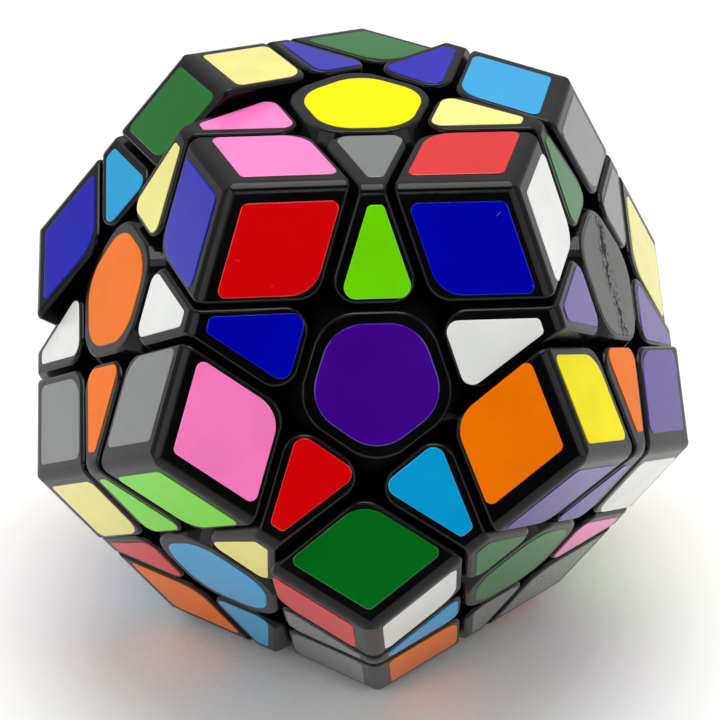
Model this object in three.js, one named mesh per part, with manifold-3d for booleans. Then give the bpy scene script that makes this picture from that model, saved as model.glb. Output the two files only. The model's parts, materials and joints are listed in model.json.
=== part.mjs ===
// Dodecahedron twisty puzzle: twelve faces, each with a centre, five edges and five corners.
// Millimetres, +Z up. The origin is the centre of the core, where all twelve turning axes meet.
import * as THREE from 'three';
import { ConvexGeometry } from 'three/addons/geometries/ConvexGeometry.js';
import { mergeVertices } from 'three/addons/utils/BufferGeometryUtils.js';
import Module from 'manifold-3d';

const wasm = await Module();
wasm.setup();

// ---- driving dimensions ----
const EDGE_LENGTH = 31.0;              // edge of the whole dodecahedron
const STRIP_WIDTH = 0.43 * EDGE_LENGTH; // width of the band that a cut leaves beside an edge
const INNER_CUT = 19.2;                // cut planes inside the mechanism, from the centre
const GAP = 0.5;                       // running gap between neighbouring pieces
const FOOT_RADIUS = 30.3;              // ball that holds all the feet
const CAP_RADIUS = 31.3;               // ball that the outer caps slide over
const EDGE_FILLET = 1.8;               // rounding of the outer edges of the dodecahedron
const CORNER_ROUND = 3.6;              // rounding of a corner piece beside a centre
const WING_ROUND = 2.2;                // rounding of the two wide ends of an edge piece
const CENTRE_ROUND = 6.0;              // rounding of a centre piece
const CAP_WALL = 1.7;                  // wall of the hollow outer caps
const EDGE_NECK = 3.6;                 // radius of the neck between cap and foot
const EDGE_WAY = 2.2;                  // radius of the drilled way through neck and foot
const CORNER_NECK = 2.9;
const CORNER_WAY = 1.5;
const STEM_RADIUS = 5.6;
const STEM_FOOT = 14.9;                // lowest point of a centre's stem, above the core's centre
const STEM_FLOOR = 2.4;                // floor that the screw passes through
const SPRING_CHAMBER = 4.2;
const CHAMBER_TOP = 32.6;
const SCREW_HOLE = 1.8;
const CORE_RADIUS = 11.0;
const POST_RADIUS = 4.4;
const POST_BASE = 5.5;                 // where a post starts, inside the core's ball
const POST_TOP = 14.5;
const SCREW_RADIUS = 1.25;
const SCREW_HEAD_RADIUS = 3.3;
const SCREW_HEAD_HEIGHT = 1.6;
const SCREW_HEAD_BASE = 22.6;
const LUG_RADIUS = 1.0;
const LUG_OFFSET = 3.2;                // from the axis to each lug
const OVERLAP = 1.0;                   // how far bars run into what they are joined to
const REAR_LEFT_TURN = 11.5;           // degrees that each part-turned layer stands off its click
const LOWER_FRONT_RIGHT_TURN = 5.5;

// Degrees that single pieces stand off square about a face's axis, within the play between pieces.
const PLAY = {
  left: {
    centre_left: 1.5, edge_l_ll: 2.0, corner_l_ll_lfl: 2.0, edge_l_lfl: 1.7, corner_f_l_lfl: 1.7,
    edge_f_l: 1.8, corner_u_f_l: 1.2, edge_u_l: 0.6,
  },
  rear_right: {
    centre_rear_right: 2.0, edge_u_rr: 3.0, corner_u_r_rr: 2.8, edge_r_rr: 2.8, corner_r_rr_lr: 2.8,
    edge_rr_lr: 2.2, corner_rr_lr_lb: 1.5, edge_rr_lb: 0.8,
  },
};

// ---- how finely round shapes are cut ----
const ROUNDING_FLATS = 1;
const SHELL_DETAIL = 2;
const CORE_DETAIL = 1;
const SLIM_SIDES = 6;
const POST_SIDES = 8;
const STEM_SIDES = 12;

// ---- proportions of a regular dodecahedron ----
const GOLDEN = (1 + Math.sqrt(5)) / 2;
const INRADIUS = EDGE_LENGTH * GOLDEN ** 2 / (2 * Math.sqrt(3 - GOLDEN));
const FACE_TILT = Math.atan(0.5);      // elevation of the upper ring of faces
const NORMAL_ANGLE = Math.atan(2);     // angle between the normals of two faces that share an edge
const OUTER_CUT = INRADIUS - STRIP_WIDTH * Math.sin(NORMAL_ANGLE);

const BLACK = { color: 0x101113, roughness: 0.32, metalness: 0.0 };
const DARK = { color: 0x1b1c1f, roughness: 0.4, metalness: 0.0 };

// ---- faces, from their azimuth and elevation ----
function direction(azimuth, elevation) {
  const a = THREE.MathUtils.degToRad(azimuth);
  const level = Math.cos(elevation);
  return new THREE.Vector3(level * Math.cos(a), level * Math.sin(a), Math.sin(elevation));
}

const FACES = {
  top: new THREE.Vector3(0, 0, 1),
  front: direction(-90, FACE_TILT),
  right: direction(-18, FACE_TILT),
  rear_right: direction(54, FACE_TILT),
  rear_left: direction(126, FACE_TILT),
  left: direction(198, FACE_TILT),
  lower_front_right: direction(-54, -FACE_TILT),
  lower_right: direction(18, -FACE_TILT),
  lower_rear: direction(90, -FACE_TILT),
  lower_left: direction(162, -FACE_TILT),
  lower_front_left: direction(234, -FACE_TILT),
  bottom: new THREE.Vector3(0, 0, -1),
};
const FACE_NAMES = Object.keys(FACES);

function adjacent(a, b) {
  return Math.abs(FACES[a].dot(FACES[b]) - Math.cos(NORMAL_ANGLE)) < 1e-6;
}

// Every set of one, two or three faces that meet: a centre, an edge or a corner.
function meetingFaces(count) {
  let sets = FACE_NAMES.map((name) => [name]);
  for (let size = 2; size <= count; size += 1) {
    sets = sets.flatMap((set) => FACE_NAMES
      .filter((name) => FACE_NAMES.indexOf(name) > FACE_NAMES.indexOf(set[set.length - 1]))
      .filter((name) => set.every((other) => adjacent(name, other)))
      .map((name) => [...set, name]));
  }
  return sets;
}

// ---- convex solids from planes; each plane keeps normal . point <= distance ----
const plane = (normal, distance) => ({ normal, distance });

function meetingPoint(p, q, r) {
  const matrix = new THREE.Matrix3();
  matrix.set(...p.normal, ...q.normal, ...r.normal);
  if (Math.abs(matrix.determinant()) < 1e-6) return null;
  return new THREE.Vector3(p.distance, q.distance, r.distance).applyMatrix3(matrix.invert());
}

function solidFromPlanes(planes) {
  const points = [];
  for (let i = 0; i < planes.length; i += 1) {
    for (let j = i + 1; j < planes.length; j += 1) {
      for (let k = j + 1; k < planes.length; k += 1) {
        const point = meetingPoint(planes[i], planes[j], planes[k]);
        const inside = point && planes.every((p) => p.normal.dot(point) < p.distance + 1e-5);
        if (inside && points.every((other) => other.distanceTo(point) > 1e-3)) points.push(point);
      }
    }
  }
  return toSolid(new ConvexGeometry(points));
}

// Planes that round the edge between two planes to a radius.
function roundingPlanes(p, q, radius) {
  const centreP = p.distance - radius;
  const centreQ = q.distance - radius;
  const cosine = p.normal.dot(q.normal);
  const sineSquared = 1 - cosine ** 2;
  const alongP = (centreP - centreQ * cosine) / sineSquared;
  const alongQ = (centreQ - centreP * cosine) / sineSquared;
  const axis = p.normal.clone().multiplyScalar(alongP).addScaledVector(q.normal, alongQ);
  const angle = Math.acos(cosine);
  return Array.from({ length: ROUNDING_FLATS }, (_, index) => {
    const share = (index + 1) / (ROUNDING_FLATS + 1);
    const normal = p.normal.clone().multiplyScalar(Math.sin((1 - share) * angle));
    normal.addScaledVector(q.normal, Math.sin(share * angle)).normalize();
    return plane(normal, normal.dot(axis) + radius);
  });
}

// ---- three.js geometry to and from solids that can be joined and cut ----
function toSolid(geometry) {
  geometry.deleteAttribute('normal');
  geometry.deleteAttribute('uv');
  const merged = mergeVertices(geometry, 1e-4);
  return new wasm.Manifold(new wasm.Mesh({
    numProp: 3,
    vertProperties: new Float32Array(merged.attributes.position.array),
    triVerts: new Uint32Array(merged.index.array),
  }));
}

function toGeometry(solid) {
  const mesh = solid.getMesh();
  const geometry = new THREE.BufferGeometry();
  geometry.setAttribute('position', new THREE.BufferAttribute(mesh.vertProperties, 3));
  geometry.setIndex(new THREE.BufferAttribute(mesh.triVerts, 1));
  return geometry;
}

// A faceted ball, turned so that it has a vertex under each of the twelve faces.
function ball(radius, detail) {
  return toSolid(new THREE.IcosahedronGeometry(radius, detail).rotateX(Math.atan(1 / GOLDEN)));
}

// A round bar along an axis from the origin, from one distance to another, beside it by an offset.
function bar(axis, radius, from, to, sides, offset = 0) {
  const geometry = new THREE.CylinderGeometry(radius, radius, to - from, sides);
  geometry.translate(offset, (from + to) / 2, 0);
  geometry.applyQuaternion(new THREE.Quaternion().setFromUnitVectors(new THREE.Vector3(0, 1, 0), axis));
  return toSolid(geometry);
}

// ---- the cuts ----
// A piece keeps its own faces' side of each cut and the other faces' far side.
function cutPlanes(set, cut, wall) {
  return FACE_NAMES.map((name) => {
    const normal = FACES[name].clone();
    if (set.includes(name)) return plane(normal.negate(), -(cut + GAP / 2 + wall));
    return plane(normal, cut - GAP / 2 - wall);
  });
}

const outerPlanes = (set, wall) => set.map((name) => plane(FACES[name].clone(), INRADIUS - wall));

const pairs = (list) => list.flatMap((a, i) => list.slice(i + 1).map((b) => [a, b]));

// The rounded edges between neighbouring cuts: the radius depends on which kind of piece it is.
function cutRounding(set, cuts) {
  return pairs(FACE_NAMES.map((name, index) => ({ name, cut: cuts[index] })))
    .filter(([a, b]) => adjacent(a.name, b.name))
    .flatMap(([a, b]) => {
      const own = [a, b].filter((item) => set.includes(item.name)).length;
      if (own === 2 && set.length === 3) return roundingPlanes(a.cut, b.cut, CORNER_ROUND);
      if (own === 1 && set.length === 2) return roundingPlanes(a.cut, b.cut, WING_ROUND);
      if (own === 0 && set.length === 1) return roundingPlanes(a.cut, b.cut, CENTRE_ROUND);
      return [];
    });
}

// Only the cuts of faces next to the piece touch its cap.
function nearCuts(set, cuts) {
  return cuts.filter((_, index) => {
    const name = FACE_NAMES[index];
    return set.includes(name) || set.some((own) => adjacent(own, name));
  });
}

function capSolid(set) {
  const cuts = cutPlanes(set, OUTER_CUT, 0);
  const faces = outerPlanes(set, 0);
  const fillets = pairs(faces).flatMap(([a, b]) => roundingPlanes(a, b, EDGE_FILLET));
  return solidFromPlanes([...faces, ...fillets, ...nearCuts(set, cuts), ...cutRounding(set, cuts)]);
}

function pieceDirection(set) {
  const sum = set.reduce((total, name) => total.add(FACES[name]), new THREE.Vector3());
  return sum.normalize();
}

const capBall = ball(CAP_RADIUS, SHELL_DETAIL);
const footBall = ball(FOOT_RADIUS, SHELL_DETAIL);

// The hollow of a cap stops short of the ball below it, and a drilled way lets it out inwards.
function hollow(set, wayRadius) {
  const axis = pieceDirection(set);
  const floor = plane(axis.clone().negate(), -(CAP_RADIUS + CAP_WALL));
  const inner = [...outerPlanes(set, CAP_WALL), ...nearCuts(set, cutPlanes(set, OUTER_CUT, CAP_WALL))];
  const room = solidFromPlanes([...inner, floor]);
  return room.add(bar(axis, wayRadius, INNER_CUT, CAP_RADIUS + 2 * CAP_WALL, SLIM_SIDES));
}

// An edge or a corner: an outer cap, and a foot that the neighbouring caps hold in.
function turningPiece(set, neckRadius, wayRadius) {
  const axis = pieceDirection(set);
  const lid = plane(axis, FOOT_RADIUS + OVERLAP);
  const footPlanes = nearCuts(set, cutPlanes(set, INNER_CUT, 0));
  const foot = solidFromPlanes([...footPlanes, lid]).intersect(footBall);
  const neck = bar(axis, neckRadius, FOOT_RADIUS - 2 * OVERLAP, CAP_RADIUS + OVERLAP, SLIM_SIDES);
  return capSolid(set).subtract(capBall).add(neck).add(foot).subtract(hollow(set, wayRadius));
}

// A centre: an outer cap on a hollow stem, with a floor that the screw passes through.
function centrePiece(name) {
  const axis = FACES[name];
  const cap = capSolid([name]).subtract(capBall);
  const stem = bar(axis, STEM_RADIUS, STEM_FOOT, CAP_RADIUS + OVERLAP, STEM_SIDES);
  const chamber = bar(axis, SPRING_CHAMBER, STEM_FOOT + STEM_FLOOR, CHAMBER_TOP, STEM_SIDES);
  const screwHole = bar(axis, SCREW_HOLE, STEM_FOOT - OVERLAP, CHAMBER_TOP - OVERLAP, POST_SIDES);
  return cap.add(stem).subtract(chamber).subtract(screwHole);
}

// The core: a ball with a post under each centre, and the screw that stands in each post.
function coreSolid() {
  return FACE_NAMES.map((name) => FACES[name]).reduce((core, axis) => {
    const headTop = SCREW_HEAD_BASE + SCREW_HEAD_HEIGHT;
    const post = bar(axis, POST_RADIUS, POST_BASE, POST_TOP, POST_SIDES);
    const shank = bar(axis, SCREW_RADIUS, CORE_RADIUS, SCREW_HEAD_BASE + SCREW_HEAD_HEIGHT / 2, SLIM_SIDES);
    const head = bar(axis, SCREW_HEAD_RADIUS, SCREW_HEAD_BASE, headTop, POST_SIDES);
    return core.add(post).add(shank).add(head);
  }, ball(CORE_RADIUS, CORE_DETAIL));
}

// Three centres on the lower rear are one body with the core: two lugs join each stem to its post.
const CORE_CENTRES = ['lower_left', 'lower_rear', 'lower_right'];

function coreWithCentres() {
  return CORE_CENTRES.reduce((core, name) => {
    const low = POST_TOP - OVERLAP;
    const high = STEM_FOOT + OVERLAP;
    const lugs = [LUG_OFFSET, -LUG_OFFSET]
      .map((offset) => bar(FACES[name], LUG_RADIUS, low, high, SLIM_SIDES, offset));
    return lugs.reduce((sum, lug) => sum.add(lug), core.add(centrePiece(name)));
  }, coreSolid());
}

// ---- the assembly ----
const puzzle = new THREE.Group();

function turnedLayer(name, degrees) {
  const group = new THREE.Group();
  group.quaternion.setFromAxisAngle(FACES[name], THREE.MathUtils.degToRad(degrees));
  puzzle.add(group);
  return group;
}

const turnedLayers = {
  rear_left: turnedLayer('rear_left', REAR_LEFT_TURN),
  lower_front_right: turnedLayer('lower_front_right', LOWER_FRONT_RIGHT_TURN),
};

// The small turn that a piece stands off at, or none.
function playTurn(name) {
  const face = Object.keys(PLAY).find((key) => name in PLAY[key]);
  if (!face) return new THREE.Quaternion();
  return new THREE.Quaternion().setFromAxisAngle(FACES[face], THREE.MathUtils.degToRad(PLAY[face][name]));
}

function addPiece(name, set, solid, look) {
  const mesh = new THREE.Mesh(toGeometry(solid), new THREE.MeshStandardMaterial(look));
  mesh.name = name;
  mesh.quaternion.copy(playTurn(name));
  const layer = set.find((face) => face in turnedLayers);
  (turnedLayers[layer] ?? puzzle).add(mesh);
}

const SHORT = {
  top: 'u', front: 'f', right: 'r', rear_right: 'rr', rear_left: 'rl', left: 'l',
  lower_front_right: 'lfr', lower_right: 'lr', lower_rear: 'lb', lower_left: 'll',
  lower_front_left: 'lfl', bottom: 'd',
};
const shortName = (kind, set) => [kind, ...set.map((name) => SHORT[name])].join('_');

addPiece('core', [], coreWithCentres(), DARK);
for (const [name] of meetingFaces(1).filter(([face]) => !CORE_CENTRES.includes(face))) {
  addPiece(`centre_${name}`, [name], centrePiece(name), BLACK);
}
for (const set of meetingFaces(2)) {
  addPiece(shortName('edge', set), set, turningPiece(set, EDGE_NECK, EDGE_WAY), BLACK);
}
for (const set of meetingFaces(3)) {
  addPiece(shortName('corner', set), set, turningPiece(set, CORNER_NECK, CORNER_WAY), BLACK);
}

export default puzzle;
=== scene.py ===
import itertools
import json
import math

import bmesh
import bpy
import numpy as np
from mathutils import Matrix, Vector


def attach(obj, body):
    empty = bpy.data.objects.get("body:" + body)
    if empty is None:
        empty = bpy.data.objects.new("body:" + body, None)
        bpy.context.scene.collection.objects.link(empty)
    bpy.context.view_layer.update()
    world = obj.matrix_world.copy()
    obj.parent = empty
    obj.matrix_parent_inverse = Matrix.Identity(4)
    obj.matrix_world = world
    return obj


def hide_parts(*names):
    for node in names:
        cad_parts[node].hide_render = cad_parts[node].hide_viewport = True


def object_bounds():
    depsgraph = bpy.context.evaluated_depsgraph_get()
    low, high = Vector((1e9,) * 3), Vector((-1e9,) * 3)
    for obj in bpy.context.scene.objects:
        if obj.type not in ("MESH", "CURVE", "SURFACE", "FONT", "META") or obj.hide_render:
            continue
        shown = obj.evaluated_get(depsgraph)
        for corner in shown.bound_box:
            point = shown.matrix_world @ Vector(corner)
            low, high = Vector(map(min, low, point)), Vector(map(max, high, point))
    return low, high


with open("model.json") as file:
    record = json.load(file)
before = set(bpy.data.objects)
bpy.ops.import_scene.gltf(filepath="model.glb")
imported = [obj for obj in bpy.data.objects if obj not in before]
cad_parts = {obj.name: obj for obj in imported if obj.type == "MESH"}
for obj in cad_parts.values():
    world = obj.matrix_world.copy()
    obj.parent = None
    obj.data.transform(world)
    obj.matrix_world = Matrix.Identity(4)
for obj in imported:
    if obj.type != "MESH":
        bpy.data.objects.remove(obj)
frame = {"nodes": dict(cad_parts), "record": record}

cad_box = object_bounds()

# ---- dimensions: the CAD model's, but here the feet reach closer to the caps ----
MM = 0.001
GOLDEN = (1 + math.sqrt(5)) / 2
MOUNTS = {mount["name"]: mount for mount in frame["record"]["mounts"]}
INRADIUS = MOUNTS["top_face"]["pos_m"][2] / MM
EDGE_LENGTH = INRADIUS * 2 * math.sqrt(3 - GOLDEN) / GOLDEN ** 2
STRIP_WIDTH = 0.43 * EDGE_LENGTH
FACE_TILT = math.atan(0.5)
NORMAL_ANGLE = math.atan(2)
APOTHEM = EDGE_LENGTH / (2 * math.tan(math.radians(36)))
OUTER_CUT = INRADIUS - STRIP_WIDTH * math.sin(NORMAL_ANGLE)
INNER_CUT = 19.2
GAP = 0.5
CAP_RADIUS = 31.1
FOOT_RADIUS = 30.8
LID_HEIGHT = FOOT_RADIUS + 1
NECK_TOP = CAP_RADIUS + 2
BALL_DETAIL = 5
TURNS = {"rear_left": 11.5, "lower_front_right": 5.5}
BODIES = {"rear_left": "rear_left_layer", "lower_front_right": "lower_front_right_layer"}
STILL_BODY = "puzzle_body"

# Degrees that single pieces stand off square about a face's axis, within the play between pieces.
PLAY = {
    "left": {
        "centre_left": 1.5, "edge_l_ll": 2.0, "corner_l_ll_lfl": 2.0, "edge_l_lfl": 1.7,
        "corner_f_l_lfl": 1.7, "edge_f_l": 1.8, "corner_u_f_l": 1.2, "edge_u_l": 0.6,
    },
    "rear_right": {
        "centre_rear_right": 2.0, "edge_u_rr": 3.0, "corner_u_r_rr": 2.8, "edge_r_rr": 2.8,
        "corner_r_rr_lr": 2.8, "edge_rr_lr": 2.2, "corner_rr_lr_lb": 1.5, "edge_rr_lb": 0.8,
    },
}

# ---- rounding of the pieces ----
EDGE_FILLET = 1.9
EDGE_FILLET_FLATS = 5
# A cap's upright edges, where two cuts meet. The key is how many of the two cuts belong to the
# piece's own faces, and how many faces it has; the value is a radius and a number of flats.
UPRIGHT_ROUNDING = {(2, 3): (3.6, 6), (1, 2): (2.2, 8), (0, 1): (6.0, 6)}
FINE_FILLET = 0.5
FINE_STEPS = 4
FOOT_FILLET = 0.3
# Flats of a hull that meet at less than this are one face.
FLAT_ANGLE = math.radians(0.6)
# Faces that meet at more than this look sharp.
SHARP_ANGLE = math.radians(35)
# A neck stays this far inside its cap's walls, so that no two faces of a union lie in one plane.
NECK_INSET = 0.06
# Points closer than this are merged after a union or a cut.
SLIVER = 0.002

# ---- the mechanism inside; heights are from the puzzle's centre ----
STEM_RADIUS = 5.6
STEM_FOOT = 14.9
STEM_TOP = 32.0
STEM_CLEARANCE = 0.1
STEM_BEVEL = 0.4
STEM_SIDES = 48
SOCKET_START = CAP_RADIUS - 4
CHAMBER_RADIUS = 4.2
CHAMBER_FLOOR = 17.3
SCREW_HOLE = 1.8
CORE_RADIUS = 11.0
CORE_DETAIL = 4
POST_RADIUS = 4.4
POST_START = CORE_RADIUS / 2
POST_TOP = 14.5
POST_BEVEL = 0.5
POST_HOLE_END = CORE_RADIUS - 2
THIN_SIDES = 32
SCREW_TIP = CORE_RADIUS - 1.5
HEAD_BASE = 22.6
HEAD_RADIUS = 3.3
HEAD_HEIGHT = 1.6
HEAD_STEPS = 6
RECESS_SIZE = (3.4, 0.7, 1.8)
SCREW_RADIUS = 1.25
THREAD_DEPTH = 0.22
THREAD_PITCH = 0.8
THREAD_ROOT = 0.1
SPRING_RADIUS = 2.7
SPRING_WIRE = 0.35
SPRING_TURNS = 5.5
SPRING_TOP = HEAD_BASE - 0.7
STEPS_PER_TURN = 24
WIRE_SIDES = 8
WASHER_BASE = HEAD_BASE - 0.6
WASHER_TOP = HEAD_BASE - 0.1

# ---- stickers ----
STICKER_THICKNESS = 0.1
# The film's softened rim: how far in from the outline, in mm, and the share of the thickness there.
STICKER_RIM = [(0.0, 0.0), (0.02, 0.55), (0.09, 0.9), (0.2, 1.0)]
STICKER_ARC_STEPS = 10
OUTER_MARGIN = 1.95
CUT_MARGIN = 1.2
CENTRE_MARGIN = 1.44
WORN_MARGIN = 0.8
STICKER_ROUND = {
    "corner": {"inner": 3.8, "other": 0.8},
    "edge": {"inner": 1.3, "other": 0.6},
    "centre": {"inner": 4.8, "other": 4.8},
}
WORN_FACE = "right"
CRACK_LEAN = math.radians(-36)
# Stickers that were put on off their place, in mm: to the right and up on their face.
SHIFTS = {
    ("top", "centre_top"): (0.4, -0.4),
    ("top", "edge_u_f"): (0.5, 0.2),
    ("top", "corner_u_f_r"): (0.5, 0.4),
    ("front", "edge_u_f"): (0.3, 0.0),
    ("front", "corner_u_f_r"): (0.4, 0.1),
    ("front", "edge_f_l"): (0.0, 0.3),
    ("front", "corner_f_r_lfr"): (-0.3, 0.6),
    ("front", "edge_f_r"): (-0.2, -0.2),
    ("right", "corner_f_r_lfr"): (-0.6, 0.0),
    ("right", "corner_u_f_r"): (0.5, -0.3),
    ("right", "edge_r_lfr"): (0.6, 0.0),
    ("right", "edge_r_lr"): (-0.1, -0.5),
    ("right", "corner_r_rr_lr"): (0.2, -0.6),
    ("left", "corner_u_rl_l"): (-0.2, 0.5),
    ("left", "corner_f_l_lfl"): (0.2, 0.4),
    ("left", "corner_l_ll_lfl"): (0.4, -0.3),
    ("lower_front_left", "corner_f_lfr_lfl"): (-0.4, 0.2),
    ("lower_front_right", "corner_f_lfr_lfl"): (-0.4, 0.0),
    ("lower_front_right", "corner_f_r_lfr"): (-0.6, 0.3),
    ("lower_front_right", "edge_r_lfr"): (-0.6, -0.2),
    ("lower_front_right", "corner_r_lfr_lr"): (0.3, -0.6),
}


def direction(azimuth, elevation):
    """A unit vector from an azimuth in degrees and an elevation in radians."""
    a = math.radians(azimuth)
    level = math.cos(elevation)
    return np.array([level * math.cos(a), level * math.sin(a), math.sin(elevation)])


FACES = {
    "top": np.array([0.0, 0.0, 1.0]),
    "front": direction(-90, FACE_TILT),
    "right": direction(-18, FACE_TILT),
    "rear_right": direction(54, FACE_TILT),
    "rear_left": direction(126, FACE_TILT),
    "left": direction(198, FACE_TILT),
    "lower_front_right": direction(-54, -FACE_TILT),
    "lower_right": direction(18, -FACE_TILT),
    "lower_rear": direction(90, -FACE_TILT),
    "lower_left": direction(162, -FACE_TILT),
    "lower_front_left": direction(234, -FACE_TILT),
    "bottom": np.array([0.0, 0.0, -1.0]),
}
SHORT = {
    "u": "top", "f": "front", "r": "right", "rr": "rear_right", "rl": "rear_left", "l": "left",
    "lfr": "lower_front_right", "lr": "lower_right", "lb": "lower_rear", "ll": "lower_left",
    "lfl": "lower_front_left", "d": "bottom",
}

# ---- the scramble: each piece's sticker colours, in the order of the faces in its name ----
CENTRE_COLOURS = {
    "u": "yellow", "f": "purple", "r": "worn", "rr": "blue", "rl": "light_green", "l": "orange",
    "lfr": "dark_green", "lr": "red", "lb": "pink", "ll": "grey", "lfl": "light_blue", "d": "cream",
}
EDGE_COLOURS = {
    "u_f": "grey light_green", "u_r": "cream dark_green", "u_l": "pink cream",
    "u_rr": "blue yellow", "u_rl": "blue red", "f_r": "white purple", "f_l": "blue white",
    "f_lfr": "light_blue dark_green", "f_lfl": "red cream", "r_lfr": "orange purple",
    "r_rr": "grey orange", "r_lr": "purple yellow", "rl_l": "orange light_blue",
    "l_ll": "white red", "l_lfl": "orange light_green", "lfr_lfl": "light_blue grey",
    "lfr_lr": "pink grey", "lfr_d": "grey cream", "ll_lfl": "pink red",
    "lfl_d": "light_blue purple", "rr_rl": "white yellow", "rr_lr": "pink light_green",
    "rr_lb": "light_green yellow", "rl_lb": "blue light_green", "rl_ll": "orange yellow",
    "lr_lb": "cream light_blue", "lr_d": "blue pink", "lb_ll": "white dark_green",
    "lb_d": "dark_green red", "ll_d": "purple dark_green",
}
CORNER_COLOURS = {
    "u_f_r": "red blue white", "u_f_l": "pink red blue", "u_r_rr": "light_blue grey cream",
    "u_rl_l": "cream red dark_green", "u_rr_rl": "dark_green light_blue cream",
    "f_r_lfr": "orange yellow purple", "f_l_lfl": "pink grey light_green",
    "f_lfr_lfl": "dark_green white red", "r_lfr_lr": "purple white yellow",
    "r_rr_lr": "cream red pink", "l_ll_lfl": "grey pink cream",
    "rl_l_ll": "yellow blue white", "lfr_lfl_d": "orange grey light_blue",
    "lfr_lr_d": "grey light_green orange", "ll_lfl_d": "light_blue orange purple",
    "rr_rl_lb": "blue light_green pink", "rr_lr_lb": "dark_green white purple",
    "rl_lb_ll": "purple light_blue dark_green", "lr_lb_d": "yellow light_green blue",
    "lb_ll_d": "light_green yellow orange",
}


def adjacent(a, b):
    return abs(FACES[a] @ FACES[b] - math.cos(NORMAL_ANGLE)) < 1e-6


def neighbours(face):
    return [name for name in FACES if adjacent(name, face)]


def near_faces(faces):
    """The faces that a piece has sides on, and their neighbours."""
    return [name for name in FACES if name in faces or any(adjacent(name, own) for own in faces)]


# ---- convex solids from planes: each plane is (normal, distance) ----
def corners_of(planes):
    """Every point where three planes meet that no other plane cuts off, with the planes through it."""
    normals = np.array([normal for normal, _ in planes])
    distances = np.array([distance for _, distance in planes])
    triples = np.array(list(itertools.combinations(range(len(planes)), 3)))
    systems = normals[triples]
    solvable = np.abs(np.linalg.det(systems)) > 1e-7
    points = np.linalg.solve(systems[solvable], distances[triples[solvable]][..., None])[..., 0]
    inside = (points @ normals.T <= distances + 1e-6).all(axis=1)
    kept = []
    for point in points[inside]:
        if all(np.linalg.norm(point - other) > 1e-4 for other in kept):
            kept.append(point)
    touching = [set(np.flatnonzero(np.abs(normals @ point - distances) < 1e-4)) for point in kept]
    return kept, touching


def arc(a, b, steps):
    """Unit vectors from a to b, both included."""
    angle = math.acos(max(-1.0, min(1.0, float(a @ b))))
    shares = np.linspace(0, 1, steps + 1)
    return [(math.sin((1 - s) * angle) * a + math.sin(s * angle) * b) / math.sin(angle) for s in shares]


def filleted_points(planes, radius):
    """Points whose hull is the solid with a fillet of that radius on every edge."""
    shrunk = [(normal, distance - radius) for normal, distance in planes]
    points, touching = corners_of(shrunk)
    surface = []
    for (p, on_p), (q, on_q) in itertools.combinations(zip(points, touching), 2):
        shared = sorted(on_p & on_q)
        if len(shared) < 2:
            continue
        a, b = planes[shared[0]][0], planes[shared[1]][0]
        steps = max(1, round(FINE_STEPS * math.acos(float(a @ b)) / math.radians(90)))
        for normal in arc(a, b, steps):
            surface += [p + radius * normal, q + radius * normal]
    return surface


def rounding_planes(p, q, radius, flats):
    """Planes that round the edge between planes p and q."""
    cosine = float(p[0] @ q[0])
    system = np.array([[1, cosine], [cosine, 1]])
    along = np.linalg.solve(system, [p[1] - radius, q[1] - radius])
    axis = along[0] * p[0] + along[1] * q[0]
    normals = arc(p[0], q[0], flats + 1)[1:-1]
    return [(normal, float(normal @ axis) + radius) for normal in normals]


# ---- meshes ----
def hull_mesh(points):
    """The convex hull of points."""
    bm = bmesh.new()
    for point in points:
        bm.verts.new(point)
    bmesh.ops.remove_doubles(bm, verts=bm.verts, dist=1e-4)
    hull = bmesh.ops.convex_hull(bm, input=bm.verts)
    spare = {v for v in hull["geom_interior"] + hull["geom_unused"] if isinstance(v, bmesh.types.BMVert)}
    bmesh.ops.delete(bm, geom=list(spare), context="VERTS")
    bmesh.ops.dissolve_limit(bm, angle_limit=FLAT_ANGLE, verts=bm.verts, edges=bm.edges)
    return finished(bm)


def finished(bm):
    bmesh.ops.recalc_face_normals(bm, faces=bm.faces)
    mesh = bpy.data.meshes.new("shape")
    bm.to_mesh(mesh)
    bm.free()
    return mesh


def ball_mesh(radius, subdivisions):
    bm = bmesh.new()
    bmesh.ops.create_icosphere(bm, subdivisions=subdivisions, radius=radius)
    return finished(bm)


def lathe_mesh(profile, sides):
    """A profile of (radius, height) points turned about +Z; it starts and ends on the axis or closes."""
    bm = bmesh.new()
    closed = profile[0][0] > 0
    rings = []
    for radius, height in profile:
        count = sides if radius > 0 else 1
        angles = [math.tau * k / sides for k in range(count)]
        rings.append([bm.verts.new((radius * math.cos(a), radius * math.sin(a), height)) for a in angles])
    following = rings[1:] + rings[:1] if closed else rings[1:]
    for low, high in zip(rings, following):
        for k in range(sides):
            j = k + 1
            quad = [low[k % len(low)], low[j % len(low)], high[j % len(high)], high[k % len(high)]]
            bm.faces.new(list(dict.fromkeys(quad)))
    return finished(bm)


def tube_mesh(bm, rings):
    """Walls between rings of points that follow each other, closed at both ends."""
    for low, high in zip(rings, rings[1:]):
        for k in range(len(low)):
            j = (k + 1) % len(low)
            bm.faces.new((low[k], low[j], high[j], high[k]))
    bm.faces.new(rings[0])
    bm.faces.new(rings[-1])
    return finished(bm)


def without_slivers(mesh):
    """The mesh with points merged that a union or a cut left almost in one place."""
    bm = bmesh.new()
    bm.from_mesh(mesh)
    bmesh.ops.remove_doubles(bm, verts=bm.verts, dist=SLIVER)
    bmesh.ops.dissolve_degenerate(bm, edges=bm.edges, dist=SLIVER)
    return finished(bm)


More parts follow.
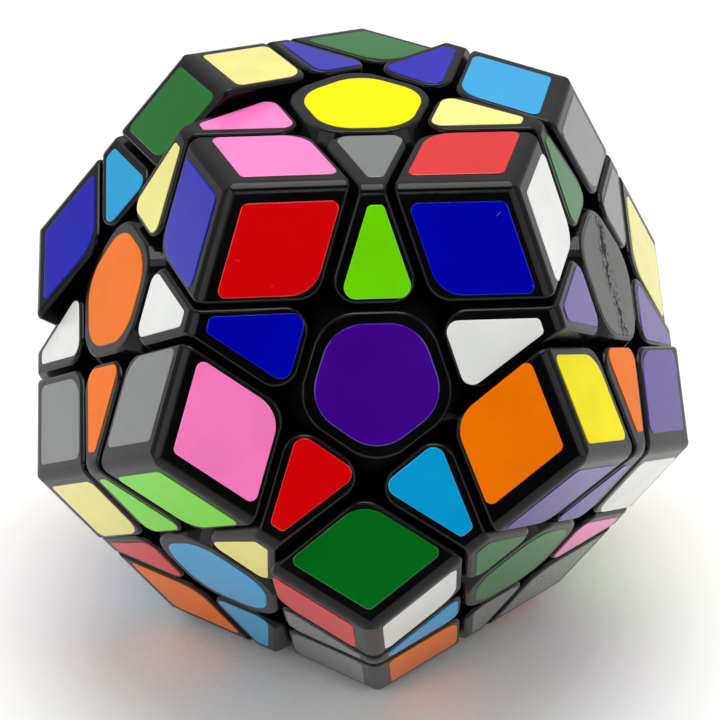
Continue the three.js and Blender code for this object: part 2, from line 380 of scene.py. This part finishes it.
def combined(mesh, other, operation):
    """Mesh joined with, cut by or limited to the other one."""
    body = bpy.data.objects.new("body", mesh)
    tool = bpy.data.objects.new("tool", other)
    for item in (body, tool):
        bpy.context.scene.collection.objects.link(item)
    modifier = body.modifiers.new("cut", "BOOLEAN")
    modifier.operation = operation
    modifier.solver = "EXACT"
    modifier.object = tool
    graph = bpy.context.evaluated_depsgraph_get()
    result = bpy.data.meshes.new_from_object(body.evaluated_get(graph))
    for item in (body, tool):
        bpy.data.objects.remove(item)
    return without_slivers(result)


def along_axis(axis):
    """Turns +Z to an axis."""
    return Vector((0, 0, 1)).rotation_difference(Vector(axis)).to_matrix().to_4x4()


def turned(mesh, matrix):
    copy = mesh.copy()
    copy.transform(matrix)
    return copy


def place(name, mesh, matrix, body, material, names=()):
    """A finished piece: its mesh is put in place in metres, and it rides on its body."""
    mesh = turned(mesh, Matrix.Scale(MM, 4) @ matrix)
    mesh.name = name
    mesh.materials.clear()
    mesh.materials.append(material)
    mesh.shade_smooth()
    mesh.set_sharp_from_angle(angle=SHARP_ANGLE)
    piece = bpy.data.objects.new(name, mesh)
    bpy.context.scene.collection.objects.link(piece)
    normals = piece.modifiers.new("normals", "WEIGHTED_NORMAL")
    normals.keep_sharp = True
    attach(piece, body)
    if names:
        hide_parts(*names)


# ---- the shape of a corner, an edge and a centre ----
def cut_planes(faces, cut):
    """Each plane keeps the piece on its own side of that face's cut."""
    planes = {}
    for name in near_faces(faces):
        if name in faces:
            planes[name] = (-FACES[name], -(cut + GAP / 2))
        else:
            planes[name] = (FACES[name], cut - GAP / 2)
    return planes


def cut_rounding(faces, planes):
    """The rounded upright edges of a cap, where two cuts meet."""
    rounding = []
    for a, b in itertools.combinations(planes, 2):
        key = ((a in faces) + (b in faces), len(faces))
        if adjacent(a, b) and key in UPRIGHT_ROUNDING:
            rounding += rounding_planes(planes[a], planes[b], *UPRIGHT_ROUNDING[key])
    return rounding


def cap_mesh(faces):
    """The outer cap, hollowed where the feet of its neighbours slide under it."""
    cuts = cut_planes(faces, OUTER_CUT)
    outer = [(FACES[name], INRADIUS) for name in faces]
    fillets = []
    for p, q in itertools.combinations(outer, 2):
        fillets += rounding_planes(p, q, EDGE_FILLET, EDGE_FILLET_FLATS)
    planes = [*outer, *fillets, *cuts.values(), *cut_rounding(faces, cuts)]
    cap = hull_mesh(filleted_points(planes, FINE_FILLET))
    return combined(cap, ball_mesh(CAP_RADIUS, BALL_DETAIL), "DIFFERENCE")


def piece_axis(faces):
    total = sum(FACES[name] for name in faces)
    return total / np.linalg.norm(total)


def foot_mesh(faces):
    """The foot that the neighbouring caps hold in, and the neck up into the cap."""
    axis = piece_axis(faces)
    inner = cut_planes(faces, INNER_CUT)
    outer = cut_planes(faces, OUTER_CUT)
    lid = (axis, LID_HEIGHT)
    foot = hull_mesh(filleted_points([*inner.values(), lid], FOOT_FILLET))
    foot = combined(foot, ball_mesh(FOOT_RADIUS, BALL_DETAIL), "INTERSECT")
    walls = [outer[name] if name in faces else inner[name] for name in inner]
    neck_planes = [(normal, distance - NECK_INSET) for normal, distance in walls]
    neck = hull_mesh(filleted_points([*neck_planes, (axis, NECK_TOP)], FOOT_FILLET))
    return combined(foot, neck, "UNION")


def centre_cap_mesh():
    """A centre's cap, with a socket for its stem."""
    radius = STEM_RADIUS + STEM_CLEARANCE
    top = STEM_TOP + STEM_CLEARANCE
    socket = [(0, SOCKET_START), (radius, SOCKET_START), (radius, top), (0, top)]
    return combined(cap_mesh(["top"]), lathe_mesh(socket, STEM_SIDES), "DIFFERENCE")


def stem_mesh():
    """The tube under a centre's cap, with the spring chamber and the hole for the screw."""
    narrow = STEM_RADIUS - STEM_BEVEL
    return lathe_mesh([
        (SCREW_HOLE, STEM_FOOT), (narrow, STEM_FOOT), (STEM_RADIUS, STEM_FOOT + STEM_BEVEL),
        (STEM_RADIUS, STEM_TOP - STEM_BEVEL), (narrow, STEM_TOP), (CHAMBER_RADIUS, STEM_TOP),
        (CHAMBER_RADIUS, CHAMBER_FLOOR), (SCREW_HOLE, CHAMBER_FLOOR),
    ], STEM_SIDES)


def core_mesh():
    """The ball with its twelve posts, each with a blind hole for a screw."""
    core = ball_mesh(CORE_RADIUS, CORE_DETAIL)
    hole = SCREW_RADIUS - THREAD_DEPTH
    post = lathe_mesh([
        (0, POST_START), (POST_RADIUS, POST_START), (POST_RADIUS, POST_TOP - POST_BEVEL),
        (POST_RADIUS - POST_BEVEL, POST_TOP), (hole, POST_TOP), (hole, POST_HOLE_END), (0, POST_HOLE_END),
    ], THIN_SIDES)
    for axis in FACES.values():
        core = combined(core, turned(post, along_axis(axis)), "UNION")
    return core


def screw_mesh():
    """A pan-head screw with a cross recess and a thread cut as rings."""
    root = SCREW_RADIUS - THREAD_DEPTH
    profile = [(0, SCREW_TIP - 1), (root, SCREW_TIP)]
    for k in range(int((POST_TOP - SCREW_TIP) / THREAD_PITCH)):
        base = SCREW_TIP + k * THREAD_PITCH
        profile += [(root, base + THREAD_ROOT), (SCREW_RADIUS, base + THREAD_PITCH / 2),
                    (root, base + THREAD_PITCH - THREAD_ROOT)]
    profile += [(SCREW_RADIUS, POST_TOP), (SCREW_RADIUS, HEAD_BASE), (HEAD_RADIUS, HEAD_BASE)]
    for angle in np.linspace(0, math.pi / 2, HEAD_STEPS + 1)[:-1]:
        radius = HEAD_RADIUS * (0.7 + 0.3 * math.cos(angle))
        profile.append((radius, HEAD_BASE + HEAD_HEIGHT * (0.3 + 0.7 * math.sin(angle))))
    profile.append((0, HEAD_BASE + HEAD_HEIGHT))
    screw = lathe_mesh(profile, THIN_SIDES)
    for turn in (0, 90):
        bm = bmesh.new()
        bmesh.ops.create_cube(bm, size=1)
        slot = finished(bm)
        slot.transform(Matrix.Rotation(math.radians(turn), 4, "Z") @ Matrix.Diagonal((*RECESS_SIZE, 1)))
        slot.transform(Matrix.Translation((0, 0, HEAD_BASE + HEAD_HEIGHT)))
        screw = combined(screw, slot, "DIFFERENCE")
    return screw


def spring_mesh():
    """A wire helix between the chamber's floor and the washer."""
    low = CHAMBER_FLOOR + SPRING_WIRE
    high = SPRING_TOP - SPRING_WIRE
    steps = int(SPRING_TURNS * STEPS_PER_TURN)
    bm = bmesh.new()
    rings = []
    for k in range(steps + 1):
        angle = math.tau * SPRING_TURNS * k / steps
        height = low + (high - low) * k / steps
        out = Vector((math.cos(angle), math.sin(angle), 0))
        ring = []
        for side in range(WIRE_SIDES):
            around = math.tau * side / WIRE_SIDES
            offset = out * math.cos(around) * SPRING_WIRE + Vector((0, 0, math.sin(around) * SPRING_WIRE))
            ring.append(bm.verts.new(out * SPRING_RADIUS + Vector((0, 0, height)) + offset))
        rings.append(ring)
    return tube_mesh(bm, rings)


def washer_mesh():
    inner = SCREW_RADIUS + 0.15
    outer = HEAD_RADIUS + 0.2
    profile = [(inner, WASHER_BASE), (outer, WASHER_BASE), (outer, WASHER_TOP), (inner, WASHER_TOP)]
    return lathe_mesh(profile, THIN_SIDES)


# ---- stickers ----
def in_plane(face, toward):
    """The unit vector in a face's plane that points at a neighbouring face."""
    return (FACES[toward] - math.cos(NORMAL_ANGLE) * FACES[face]) / math.sin(NORMAL_ANGLE)


def sticker_outline(face, faces):
    """The rounded outline on a face of one of a piece's stickers, as points round the face's centre."""
    kind = ("centre", "edge", "corner")[len(faces) - 1]
    margin = CENTRE_MARGIN if kind == "centre" else CUT_MARGIN
    if faces == [WORN_FACE]:
        margin = WORN_MARGIN
    lines = []
    for name in neighbours(face):
        toward = in_plane(face, name)
        if name in faces:
            lines.append((toward, APOTHEM - OUTER_MARGIN, False))
            lines.append((-toward, -(APOTHEM - STRIP_WIDTH + margin), True))
        else:
            lines.append((toward, APOTHEM - STRIP_WIDTH - margin, True))
    x = lines[0][0]
    y = np.cross(FACES[face], x)
    flat = [(np.array([normal @ x, normal @ y]), distance, cut) for normal, distance, cut in lines]
    outline = []
    for (a, da, cut_a), (b, db, cut_b) in itertools.combinations(flat, 2):
        if abs(a[0] * b[1] - a[1] * b[0]) < 1e-6:
            continue
        point = np.linalg.solve([a, b], [da, db])
        if all(normal @ point <= distance + 1e-6 for normal, distance, _ in flat):
            radius = STICKER_ROUND[kind]["inner" if cut_a and cut_b else "other"]
            centre = np.linalg.solve([a, b], [da - radius, db - radius])
            if a[0] * b[1] - a[1] * b[0] < 0:
                a, b = b, a
            outline += [centre + radius * normal for normal in arc(a, b, STICKER_ARC_STEPS)]
    middle = np.mean(outline, axis=0)
    outline.sort(key=lambda p: math.atan2(p[1] - middle[1], p[0] - middle[0]))
    return [p[0] * x + p[1] * y for p in outline]


def shifted(face, node):
    """How far a sticker lies off its place, as a vector."""
    normal = Vector(FACES[face])
    up = Vector((0, 0, 1)) - normal.z * normal if abs(normal.z) < 0.9 else Vector((0, 1, 0))
    right = up.cross(normal).normalized()
    across, along = SHIFTS.get((face, node), (0.0, 0.0))
    return np.array(across * right + along * up.normalized())


def sticker_mesh(face, faces, node):
    """A thin film with a softened rim."""
    normal = FACES[face]
    shift = shifted(face, node)
    outline = [point + shift for point in sticker_outline(face, faces)]
    middle = sum(outline) / len(outline)
    bm = bmesh.new()
    rings = []
    for inset, share in STICKER_RIM:
        height = INRADIUS + STICKER_THICKNESS * share
        ring = []
        for point in outline:
            inward = (middle - point) / np.linalg.norm(middle - point)
            ring.append(bm.verts.new(point + inset * inward + height * normal))
        rings.append(ring)
    return tube_mesh(bm, rings)


# ---- materials: noise scales are per metre, lengths in metres ----
def srgb(red, green, blue):
    """A colour given in levels of 0 to 255."""
    def linear(value):
        value /= 255
        return value / 12.92 if value <= 0.04045 else ((value + 0.055) / 1.055) ** 2.4
    return (linear(red), linear(green), linear(blue), 1.0)


def smooth_range(tree, value, low, high, first, last):
    """Goes smoothly from first to last while value goes from low to high."""
    node = tree.nodes.new("ShaderNodeMapRange")
    node.interpolation_type = "SMOOTHSTEP"
    tree.links.new(value, node.inputs["Value"])
    for key, number in (("From Min", low), ("From Max", high), ("To Min", first), ("To Max", last)):
        node.inputs[key].default_value = number
    return node.outputs["Result"]


class Nodes:
    """A short way to write a material's node tree."""

    def __init__(self, name):
        self.material = bpy.data.materials.new(name)
        self.material.use_nodes = True
        self.tree = self.material.node_tree
        self.shader = self.tree.nodes["Principled BSDF"]
        texture = self.tree.nodes.new("ShaderNodeTexCoord")
        self.coordinates = texture.outputs["Object"]
        self.normal = texture.outputs["Normal"]

    def add(self, kind, **values):
        node = self.tree.nodes.new("ShaderNode" + kind)
        for key, value in values.items():
            if key in node.inputs:
                self.connect(value, node.inputs[key])
            else:
                setattr(node, key, value)
        return node

    def connect(self, value, socket):
        if isinstance(value, bpy.types.NodeSocket):
            self.tree.links.new(value, socket)
        else:
            socket.default_value = value

    def noise(self, scale, detail, roughness=0.5):
        where = self.coordinates
        node = self.add("TexNoise", Vector=where, Scale=scale, Detail=detail, Roughness=roughness)
        return node.outputs["Fac"]

    def ramp(self, value, low, high, first, last):
        return smooth_range(self.tree, value, low, high, first, last)

    def mix(self, factor, first, last):
        node = self.tree.nodes.new("ShaderNodeMix")
        node.data_type = "RGBA"
        self.connect(factor, node.inputs["Factor"])
        self.connect(first, node.inputs[6])
        self.connect(last, node.inputs[7])
        return node.outputs[2]

    def math(self, operation, first, last=0.0):
        node = self.tree.nodes.new("ShaderNodeMath")
        node.operation = operation
        self.connect(first, node.inputs[0])
        self.connect(last, node.inputs[1])
        return node.outputs[0]

    def vector(self, operation, first, last=None):
        node = self.add("VectorMath", operation=operation)
        self.connect(first, node.inputs[0])
        if last is not None:
            self.connect(last, node.inputs[1])
        return node.outputs["Value" if operation in ("DOT_PRODUCT", "LENGTH") else "Vector"]

    def warped(self, scale, amount):
        """The coordinates, pushed about by noise."""
        noise = self.add("TexNoise", Vector=self.coordinates, Scale=scale, Detail=4.0)
        shift = self.add("VectorMath", operation="SCALE", Scale=amount)
        self.connect(noise.outputs["Color"], shift.inputs[0])
        return self.vector("ADD", self.coordinates, shift.outputs["Vector"])

    def bump(self, height, distance, after=None):
        node = self.add("Bump", Height=height, Distance=distance)
        if after is not None:
            self.connect(after, node.inputs["Normal"])
        return node.outputs["Normal"]

    def set(self, **values):
        names = {
            "color": "Base Color", "roughness": "Roughness", "normal": "Normal", "metallic": "Metallic",
            "specular": "Specular IOR Level", "tint": "Specular Tint",
        }
        for key, value in values.items():
            self.connect(value, self.shader.inputs[names[key]])
        return self.material


def scratches(nodes, spacing, length, width, share):
    """Short straight marks, each in a direction of its own: thin discs where they cross the surface."""
    cells = nodes.add("TexVoronoi", Vector=nodes.coordinates, Scale=1 / spacing)
    local = nodes.vector("SUBTRACT", nodes.coordinates, cells.outputs["Position"])
    way = nodes.vector("NORMALIZE", nodes.vector("SUBTRACT", cells.outputs["Color"], (0.5, 0.5, 0.5)))
    away = nodes.math("ABSOLUTE", nodes.vector("DOT_PRODUCT", local, way))
    line = nodes.ramp(away, width * 0.5, width, 1.0, 0.0)
    ends = nodes.ramp(nodes.vector("LENGTH", local), length * 0.5, length, 1.0, 0.0)
    chosen = nodes.add("SeparateColor", Color=cells.outputs["Color"]).outputs["Red"]
    present = nodes.ramp(chosen, 1 - share, 1.001 - share, 0.0, 1.0)
    level = nodes.math("ABSOLUTE", nodes.vector("DOT_PRODUCT", way, nodes.normal))
    upright = nodes.ramp(level, 0.4, 0.6, 1.0, 0.0)
    mark = nodes.math("MULTIPLY", line, ends)
    shown = nodes.math("MULTIPLY", present, upright)
    return nodes.math("MULTIPLY", mark, shown)


def black_plastic():
    nodes = Nodes("black_plastic")
    cloud = nodes.noise(90, 4)
    grain = nodes.noise(5200, 2)
    waves = nodes.noise(420, 2)
    marks = scratches(nodes, spacing=0.004, length=0.0012, width=0.00004, share=0.3)
    # Convex edges, found by pointiness, are lightened towards grey (34, 35, 37): a painted highlight on
    # the black plastic.
    edge_convexity = nodes.add("NewGeometry").outputs["Pointiness"]
    painted_edge_highlight = nodes.ramp(edge_convexity, 0.5, 0.62, 0.0, 1.0)
    base = nodes.mix(nodes.ramp(cloud, 0.3, 0.7, 0.0, 1.0), srgb(2, 2, 3), srgb(7, 7, 8))
    color = nodes.mix(nodes.math("MULTIPLY", painted_edge_highlight, 0.4), base, srgb(34, 35, 37))
    color = nodes.mix(nodes.math("MULTIPLY", marks, 0.3), color, srgb(70, 70, 72))
    roughness = nodes.ramp(cloud, 0.25, 0.75, 0.15, 0.23)
    normal = nodes.bump(grain, 0.000005)
    normal = nodes.bump(waves, 0.00002, after=normal)
    normal = nodes.bump(marks, -0.000005, after=normal)
    return nodes.set(color=color, roughness=roughness, normal=normal, specular=0.22)


# How strong each film's gloss is, and how far it takes the film's own hue, fitted by comparison.
PLAIN_GLOSS = (0.5, 0.0)
GLOSS = {
    "yellow": (0.05, 1.0), "orange": (0.12, 1.0), "dark_green": (0.5, 0.3), "blue": (0.45, 0.5),
    "light_blue": (0.6, 0.1), "purple": (0.65, 0.0),
}


def sticker_vinyl(name, colour):
    nodes = Nodes("sticker_" + name)
    base = srgb(*colour)
    gloss, own_hue = GLOSS.get(name, PLAIN_GLOSS)
    tint = tuple(1 - own_hue + own_hue * channel / max(base[:3]) for channel in base[:3]) + (1.0,)
    cloud = nodes.noise(160, 4)
    specks = nodes.ramp(nodes.noise(3200, 2), 0.74, 0.80, 0.0, 1.0)
    marks = scratches(nodes, spacing=0.0035, length=0.0005, width=0.00003, share=0.3)
    darker = tuple(channel * 0.93 for channel in base[:3]) + (1.0,)
    color = nodes.mix(nodes.ramp(cloud, 0.3, 0.7, 0.0, 1.0), darker, base)
    color = nodes.mix(nodes.math("MULTIPLY", specks, 0.08), color, srgb(120, 120, 118))
    color = nodes.mix(nodes.math("MULTIPLY", marks, 0.22), color, srgb(215, 215, 215))
    roughness = nodes.ramp(cloud, 0.3, 0.7, 0.15, 0.20)
    peel = nodes.bump(nodes.noise(700, 2), 0.000012)
    normal = nodes.bump(marks, -0.000006, after=peel)
    return nodes.set(color=color, roughness=roughness, normal=normal, tint=tint, specular=gloss)


def worn_sticker():
    """A dull film with a ragged leaning crack, torn flakes round it and small holes, down to the black."""
    nodes = Nodes("sticker_worn")
    normal = Vector(FACES[WORN_FACE])
    level = Vector((0, 0, 1)).cross(normal).normalized()
    sideways = Matrix.Rotation(CRACK_LEAN, 3, normal) @ level
    across = nodes.vector("DOT_PRODUCT", nodes.coordinates, sideways)
    wander = nodes.math("MULTIPLY", nodes.math("SUBTRACT", nodes.noise(110, 5, 0.65), 0.5), 0.012)
    off_line = nodes.math("ABSOLUTE", nodes.math("ADD", across, wander))
    swell = nodes.ramp(nodes.noise(260, 3), 0.40, 0.62, 0.00005, 0.00055)
    crack = nodes.math("LESS_THAN", off_line, swell)
    near = nodes.ramp(off_line, 0.0004, 0.0026, 1.0, 0.0)
    torn = nodes.warped(900, 0.0012)
    cells = nodes.add("TexVoronoi", Vector=torn, Scale=1000.0, feature="DISTANCE_TO_EDGE")
    veins = nodes.ramp(cells.outputs["Distance"], 0.06, 0.12, 1.0, 0.0)
    patches = nodes.ramp(nodes.noise(430, 4), 0.47, 0.55, 0.0, 1.0)
    veins = nodes.math("MULTIPLY", nodes.math("MULTIPLY", veins, patches), near)
    holes = nodes.ramp(nodes.noise(1900, 3), 0.66, 0.69, 0.0, 1.0)
    holes = nodes.math("MULTIPLY", holes, near)
    gone = nodes.math("MAXIMUM", crack, nodes.math("MAXIMUM", veins, holes))
    film = nodes.mix(nodes.noise(500, 5), srgb(72, 76, 72), srgb(92, 96, 92))
    color = nodes.mix(gone, film, srgb(5, 5, 6))
    normal = nodes.bump(gone, -0.00006)
    normal = nodes.bump(nodes.noise(1400, 3), 0.00002, after=normal)
    return nodes.set(color=color, roughness=nodes.ramp(gone, 0, 1, 0.42, 0.85), normal=normal)


def core_plastic():
    nodes = Nodes("core_plastic")
    cloud = nodes.noise(200, 4)
    color = nodes.mix(cloud, srgb(22, 23, 25), srgb(34, 35, 38))
    normal = nodes.bump(nodes.noise(3000, 2), 0.00001)
    return nodes.set(color=color, roughness=nodes.ramp(cloud, 0.2, 0.8, 0.38, 0.52), normal=normal)


def plated_steel():
    nodes = Nodes("plated_steel")
    cloud = nodes.noise(700, 4)
    color = nodes.mix(cloud, srgb(150, 150, 148), srgb(196, 196, 198))
    normal = nodes.bump(nodes.noise(4000, 2), 0.000006)
    roughness = nodes.ramp(cloud, 0.2, 0.8, 0.22, 0.42)
    return nodes.set(color=color, roughness=roughness, normal=normal, metallic=1.0)


def floor_paint():
    nodes = Nodes("floor_paint")
    cloud = nodes.noise(6, 4)
    color = nodes.mix(cloud, srgb(246, 246, 245), srgb(251, 251, 250))
    normal = nodes.bump(nodes.noise(900, 3), 0.00005)
    return nodes.set(color=color, roughness=0.9, normal=normal, specular=0.1)


COLOURS = {
    "yellow": (248, 232, 0), "purple": (64, 2, 144), "white": (232, 234, 231), "blue": (0, 3, 172),
    "light_green": (110, 218, 0), "orange": (244, 117, 0), "dark_green": (0, 106, 26),
    "light_blue": (0, 158, 216), "grey": (116, 120, 117), "red": (216, 0, 6),
    "pink": (255, 126, 194), "cream": (240, 234, 134),
}


# ---- where each piece goes ----
def frame_of(faces):
    """Three axes tied to a piece's faces, so that one piece can be turned into another."""
    first = FACES[faces[0]]
    second = FACES[faces[1] if len(faces) > 1 else neighbours(faces[0])[-1]]
    second = second - (second @ first) * first
    second /= np.linalg.norm(second)
    return np.column_stack([first, second, np.cross(first, second)])


def handed(faces):
    """A corner's faces in anticlockwise order, seen from outside."""
    if len(faces) < 3 or np.cross(FACES[faces[0]], FACES[faces[1]]) @ FACES[faces[2]] > 0:
        return faces
    return [faces[0], faces[2], faces[1]]


def layer_of(faces):
    return next((name for name in faces if name in TURNS), None)


def own_turn(node, faces):
    """The turn of a piece's layer, or the small turn of its play."""
    layer = layer_of(faces)
    if layer is not None:
        return Matrix.Rotation(math.radians(TURNS[layer]), 4, Vector(FACES[layer]))
    for name, degrees in PLAY.items():
        if node in degrees:
            return Matrix.Rotation(math.radians(degrees[node]), 4, Vector(FACES[name]))
    return Matrix.Identity(4)


def move_from(prototype, faces):
    """The turn from a prototype's faces to a piece's own."""
    turn = frame_of(handed(faces)) @ frame_of(handed(prototype)).T
    return Matrix(turn.tolist()).to_4x4()


def body_for(faces):
    return BODIES.get(layer_of(faces), STILL_BODY)


def put_stickers(name, faces, colours, vinyl):
    for face, colour in zip(faces, colours):
        label = f"sticker_{name}" if len(faces) == 1 else f"sticker_{name}_on_{face}"
        mesh = sticker_mesh(face, faces, name)
        place(label, mesh, own_turn(name, faces), body_for(faces), vinyl[colour])


def build_puzzle():
    plastic = black_plastic()
    vinyl = {name: sticker_vinyl(name, colour) for name, colour in COLOURS.items()}
    vinyl["worn"] = worn_sticker()
    shapes = {
        "corner": (["top", "front", "right"], CORNER_COLOURS),
        "edge": (["top", "front"], EDGE_COLOURS),
    }
    for kind, (prototype, table) in shapes.items():
        shape = combined(cap_mesh(prototype), foot_mesh(prototype), "UNION")
        for key, colours in table.items():
            faces = [SHORT[letter] for letter in key.split("_")]
            node = f"{kind}_{key}"
            move = own_turn(node, faces) @ move_from(prototype, faces)
            place(f"{node}_piece", shape, move, body_for(faces), plastic, names=[node])
            put_stickers(node, faces, colours.split(), vinyl)
    build_centres(plastic, vinyl)


def build_centres(plastic, vinyl):
    inner = core_plastic()
    steel = plated_steel()
    cap, stem, spring = centre_cap_mesh(), stem_mesh(), spring_mesh()
    screw, washer = screw_mesh(), washer_mesh()
    place("core_ball", core_mesh(), Matrix.Identity(4), STILL_BODY, inner, names=["core"])
    for letter, colour in CENTRE_COLOURS.items():
        face = SHORT[letter]
        body = body_for([face])
        node = f"centre_{face}"
        turn = own_turn(node, [face])
        axial = turn @ along_axis(FACES[face])
        covered = [node] if node in frame["nodes"] else []
        place(f"{node}_cap", cap, turn @ move_from(["top"], [face]), body, plastic,
              names=covered)
        place(f"{node}_stem", stem, axial, body, plastic)
        place(f"spring_{face}", spring, axial, body, steel)
        place(f"washer_{face}", washer, axial, body, steel)
        place(f"screw_{face}", screw, along_axis(FACES[face]), STILL_BODY, steel)
        put_stickers(node, [face], [colour], vinyl)


# ---- floor, lights and camera, in metres ----
FLOOR_SIZE = 12.0
FLOOR_SEGMENTS = 8
# The floor lies this far below the lowest point.
FLOOR_DROP = 0.0001
# Name, azimuth and elevation in degrees, distance, width, height, power.
LIGHTS = [
    ("overhead", 75, 80, 1.0, 0.75, 0.75, 6.4),
    ("left_fill", -138, 24, 0.8, 0.6, 0.6, 1.65),
    ("right_fill", -42, 24, 0.8, 0.6, 0.6, 1.3),
    ("front_strip", -90, 50, 0.8, 0.5, 0.04, 0.36),
]


def add_floor(height):
    bm = bmesh.new()
    bmesh.ops.create_grid(bm, x_segments=FLOOR_SEGMENTS, y_segments=FLOOR_SEGMENTS, size=FLOOR_SIZE)
    floor = bpy.data.objects.new("floor", finished(bm))
    floor.location.z = height
    floor.data.materials.append(floor_paint())
    bpy.context.scene.collection.objects.link(floor)


def add_light(name, azimuth, elevation, distance, width, height, power):
    data = bpy.data.lights.new(name, "AREA")
    data.shape = "ELLIPSE"
    data.size = width
    data.size_y = height
    data.energy = power
    light = bpy.data.objects.new(name, data)
    toward = Vector(direction(azimuth, math.radians(elevation)))
    light.location = toward * distance
    light.rotation_euler = toward.to_track_quat("Z", "Y").to_euler()
    bpy.context.scene.collection.objects.link(light)


# The studio is paler overhead than at the horizon, with a dark opening where the camera stands.
# The opening only shows in reflections: past the floor, the backdrop itself is plain.
HORIZON_BRIGHTNESS = 0.46
SKY_BRIGHTNESS = 0.93
SKY_FROM = math.sin(math.radians(10))
SKY_TO = math.sin(math.radians(48))
BACKDROP_BRIGHTNESS = 0.5
OPENING_BRIGHTNESS = 0.02
OPENING_TOWARD = direction(-88, math.radians(28))
OPENING_INNER = math.cos(math.radians(42))
OPENING_OUTER = math.cos(math.radians(72))


def add_world():
    world = bpy.data.worlds.new("studio")
    world.use_nodes = True
    tree = world.node_tree
    toward = tree.nodes.new("ShaderNodeTexCoord").outputs["Generated"]
    height = tree.nodes.new("ShaderNodeSeparateXYZ")
    tree.links.new(toward, height.inputs[0])
    closeness = tree.nodes.new("ShaderNodeVectorMath")
    closeness.operation = "DOT_PRODUCT"
    tree.links.new(toward, closeness.inputs[0])
    closeness.inputs[1].default_value = OPENING_TOWARD
    sky = smooth_range(tree, height.outputs["Z"], SKY_FROM, SKY_TO, HORIZON_BRIGHTNESS, SKY_BRIGHTNESS)
    near = closeness.outputs["Value"]
    wall = smooth_range(tree, near, OPENING_OUTER, OPENING_INNER, 1.0, OPENING_BRIGHTNESS)
    brightness = tree.nodes.new("ShaderNodeMath")
    brightness.operation = "MULTIPLY"
    tree.links.new(sky, brightness.inputs[0])
    tree.links.new(wall, brightness.inputs[1])
    seen = tree.nodes.new("ShaderNodeMix")
    path = tree.nodes.new("ShaderNodeLightPath")
    tree.links.new(path.outputs["Is Camera Ray"], seen.inputs["Factor"])
    tree.links.new(brightness.outputs[0], seen.inputs["A"])
    seen.inputs["B"].default_value = BACKDROP_BRIGHTNESS
    background = tree.nodes["Background"]
    tree.links.new(seen.outputs["Result"], background.inputs["Strength"])
    background.inputs["Color"].default_value = (1.0, 1.0, 1.0, 1.0)
    bpy.context.scene.world = world


CAMERA_PLACE = Vector((-14.15, -203.0, 130.05)) * MM
CAMERA_AIM = Vector((0.0598, 0.8377, -0.5429))
CAMERA_ROLL = 0.52
CAMERA_LENS = 95.0
CAMERA_SENSOR = 36.0
CAMERA_CLIP_START = 0.02


def add_camera():
    data = bpy.data.cameras.new("camera")
    data.sensor_width = CAMERA_SENSOR
    data.lens = CAMERA_LENS
    data.clip_start = CAMERA_CLIP_START
    camera = bpy.data.objects.new("camera", data)
    camera.location = CAMERA_PLACE
    aim = CAMERA_AIM.to_track_quat("-Z", "Y").to_matrix()
    roll = Matrix.Rotation(math.radians(CAMERA_ROLL), 3, "Z")
    camera.rotation_euler = (aim @ roll).to_euler()
    bpy.context.scene.collection.objects.link(camera)
    bpy.context.scene.camera = camera


add_camera()
build_puzzle()
visual_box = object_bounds()
add_floor(min(cad_box[0].z, visual_box[0].z) - FLOOR_DROP)
add_world()
for light in LIGHTS:
    add_light(*light)
bpy.context.scene.view_settings.view_transform = "Standard"
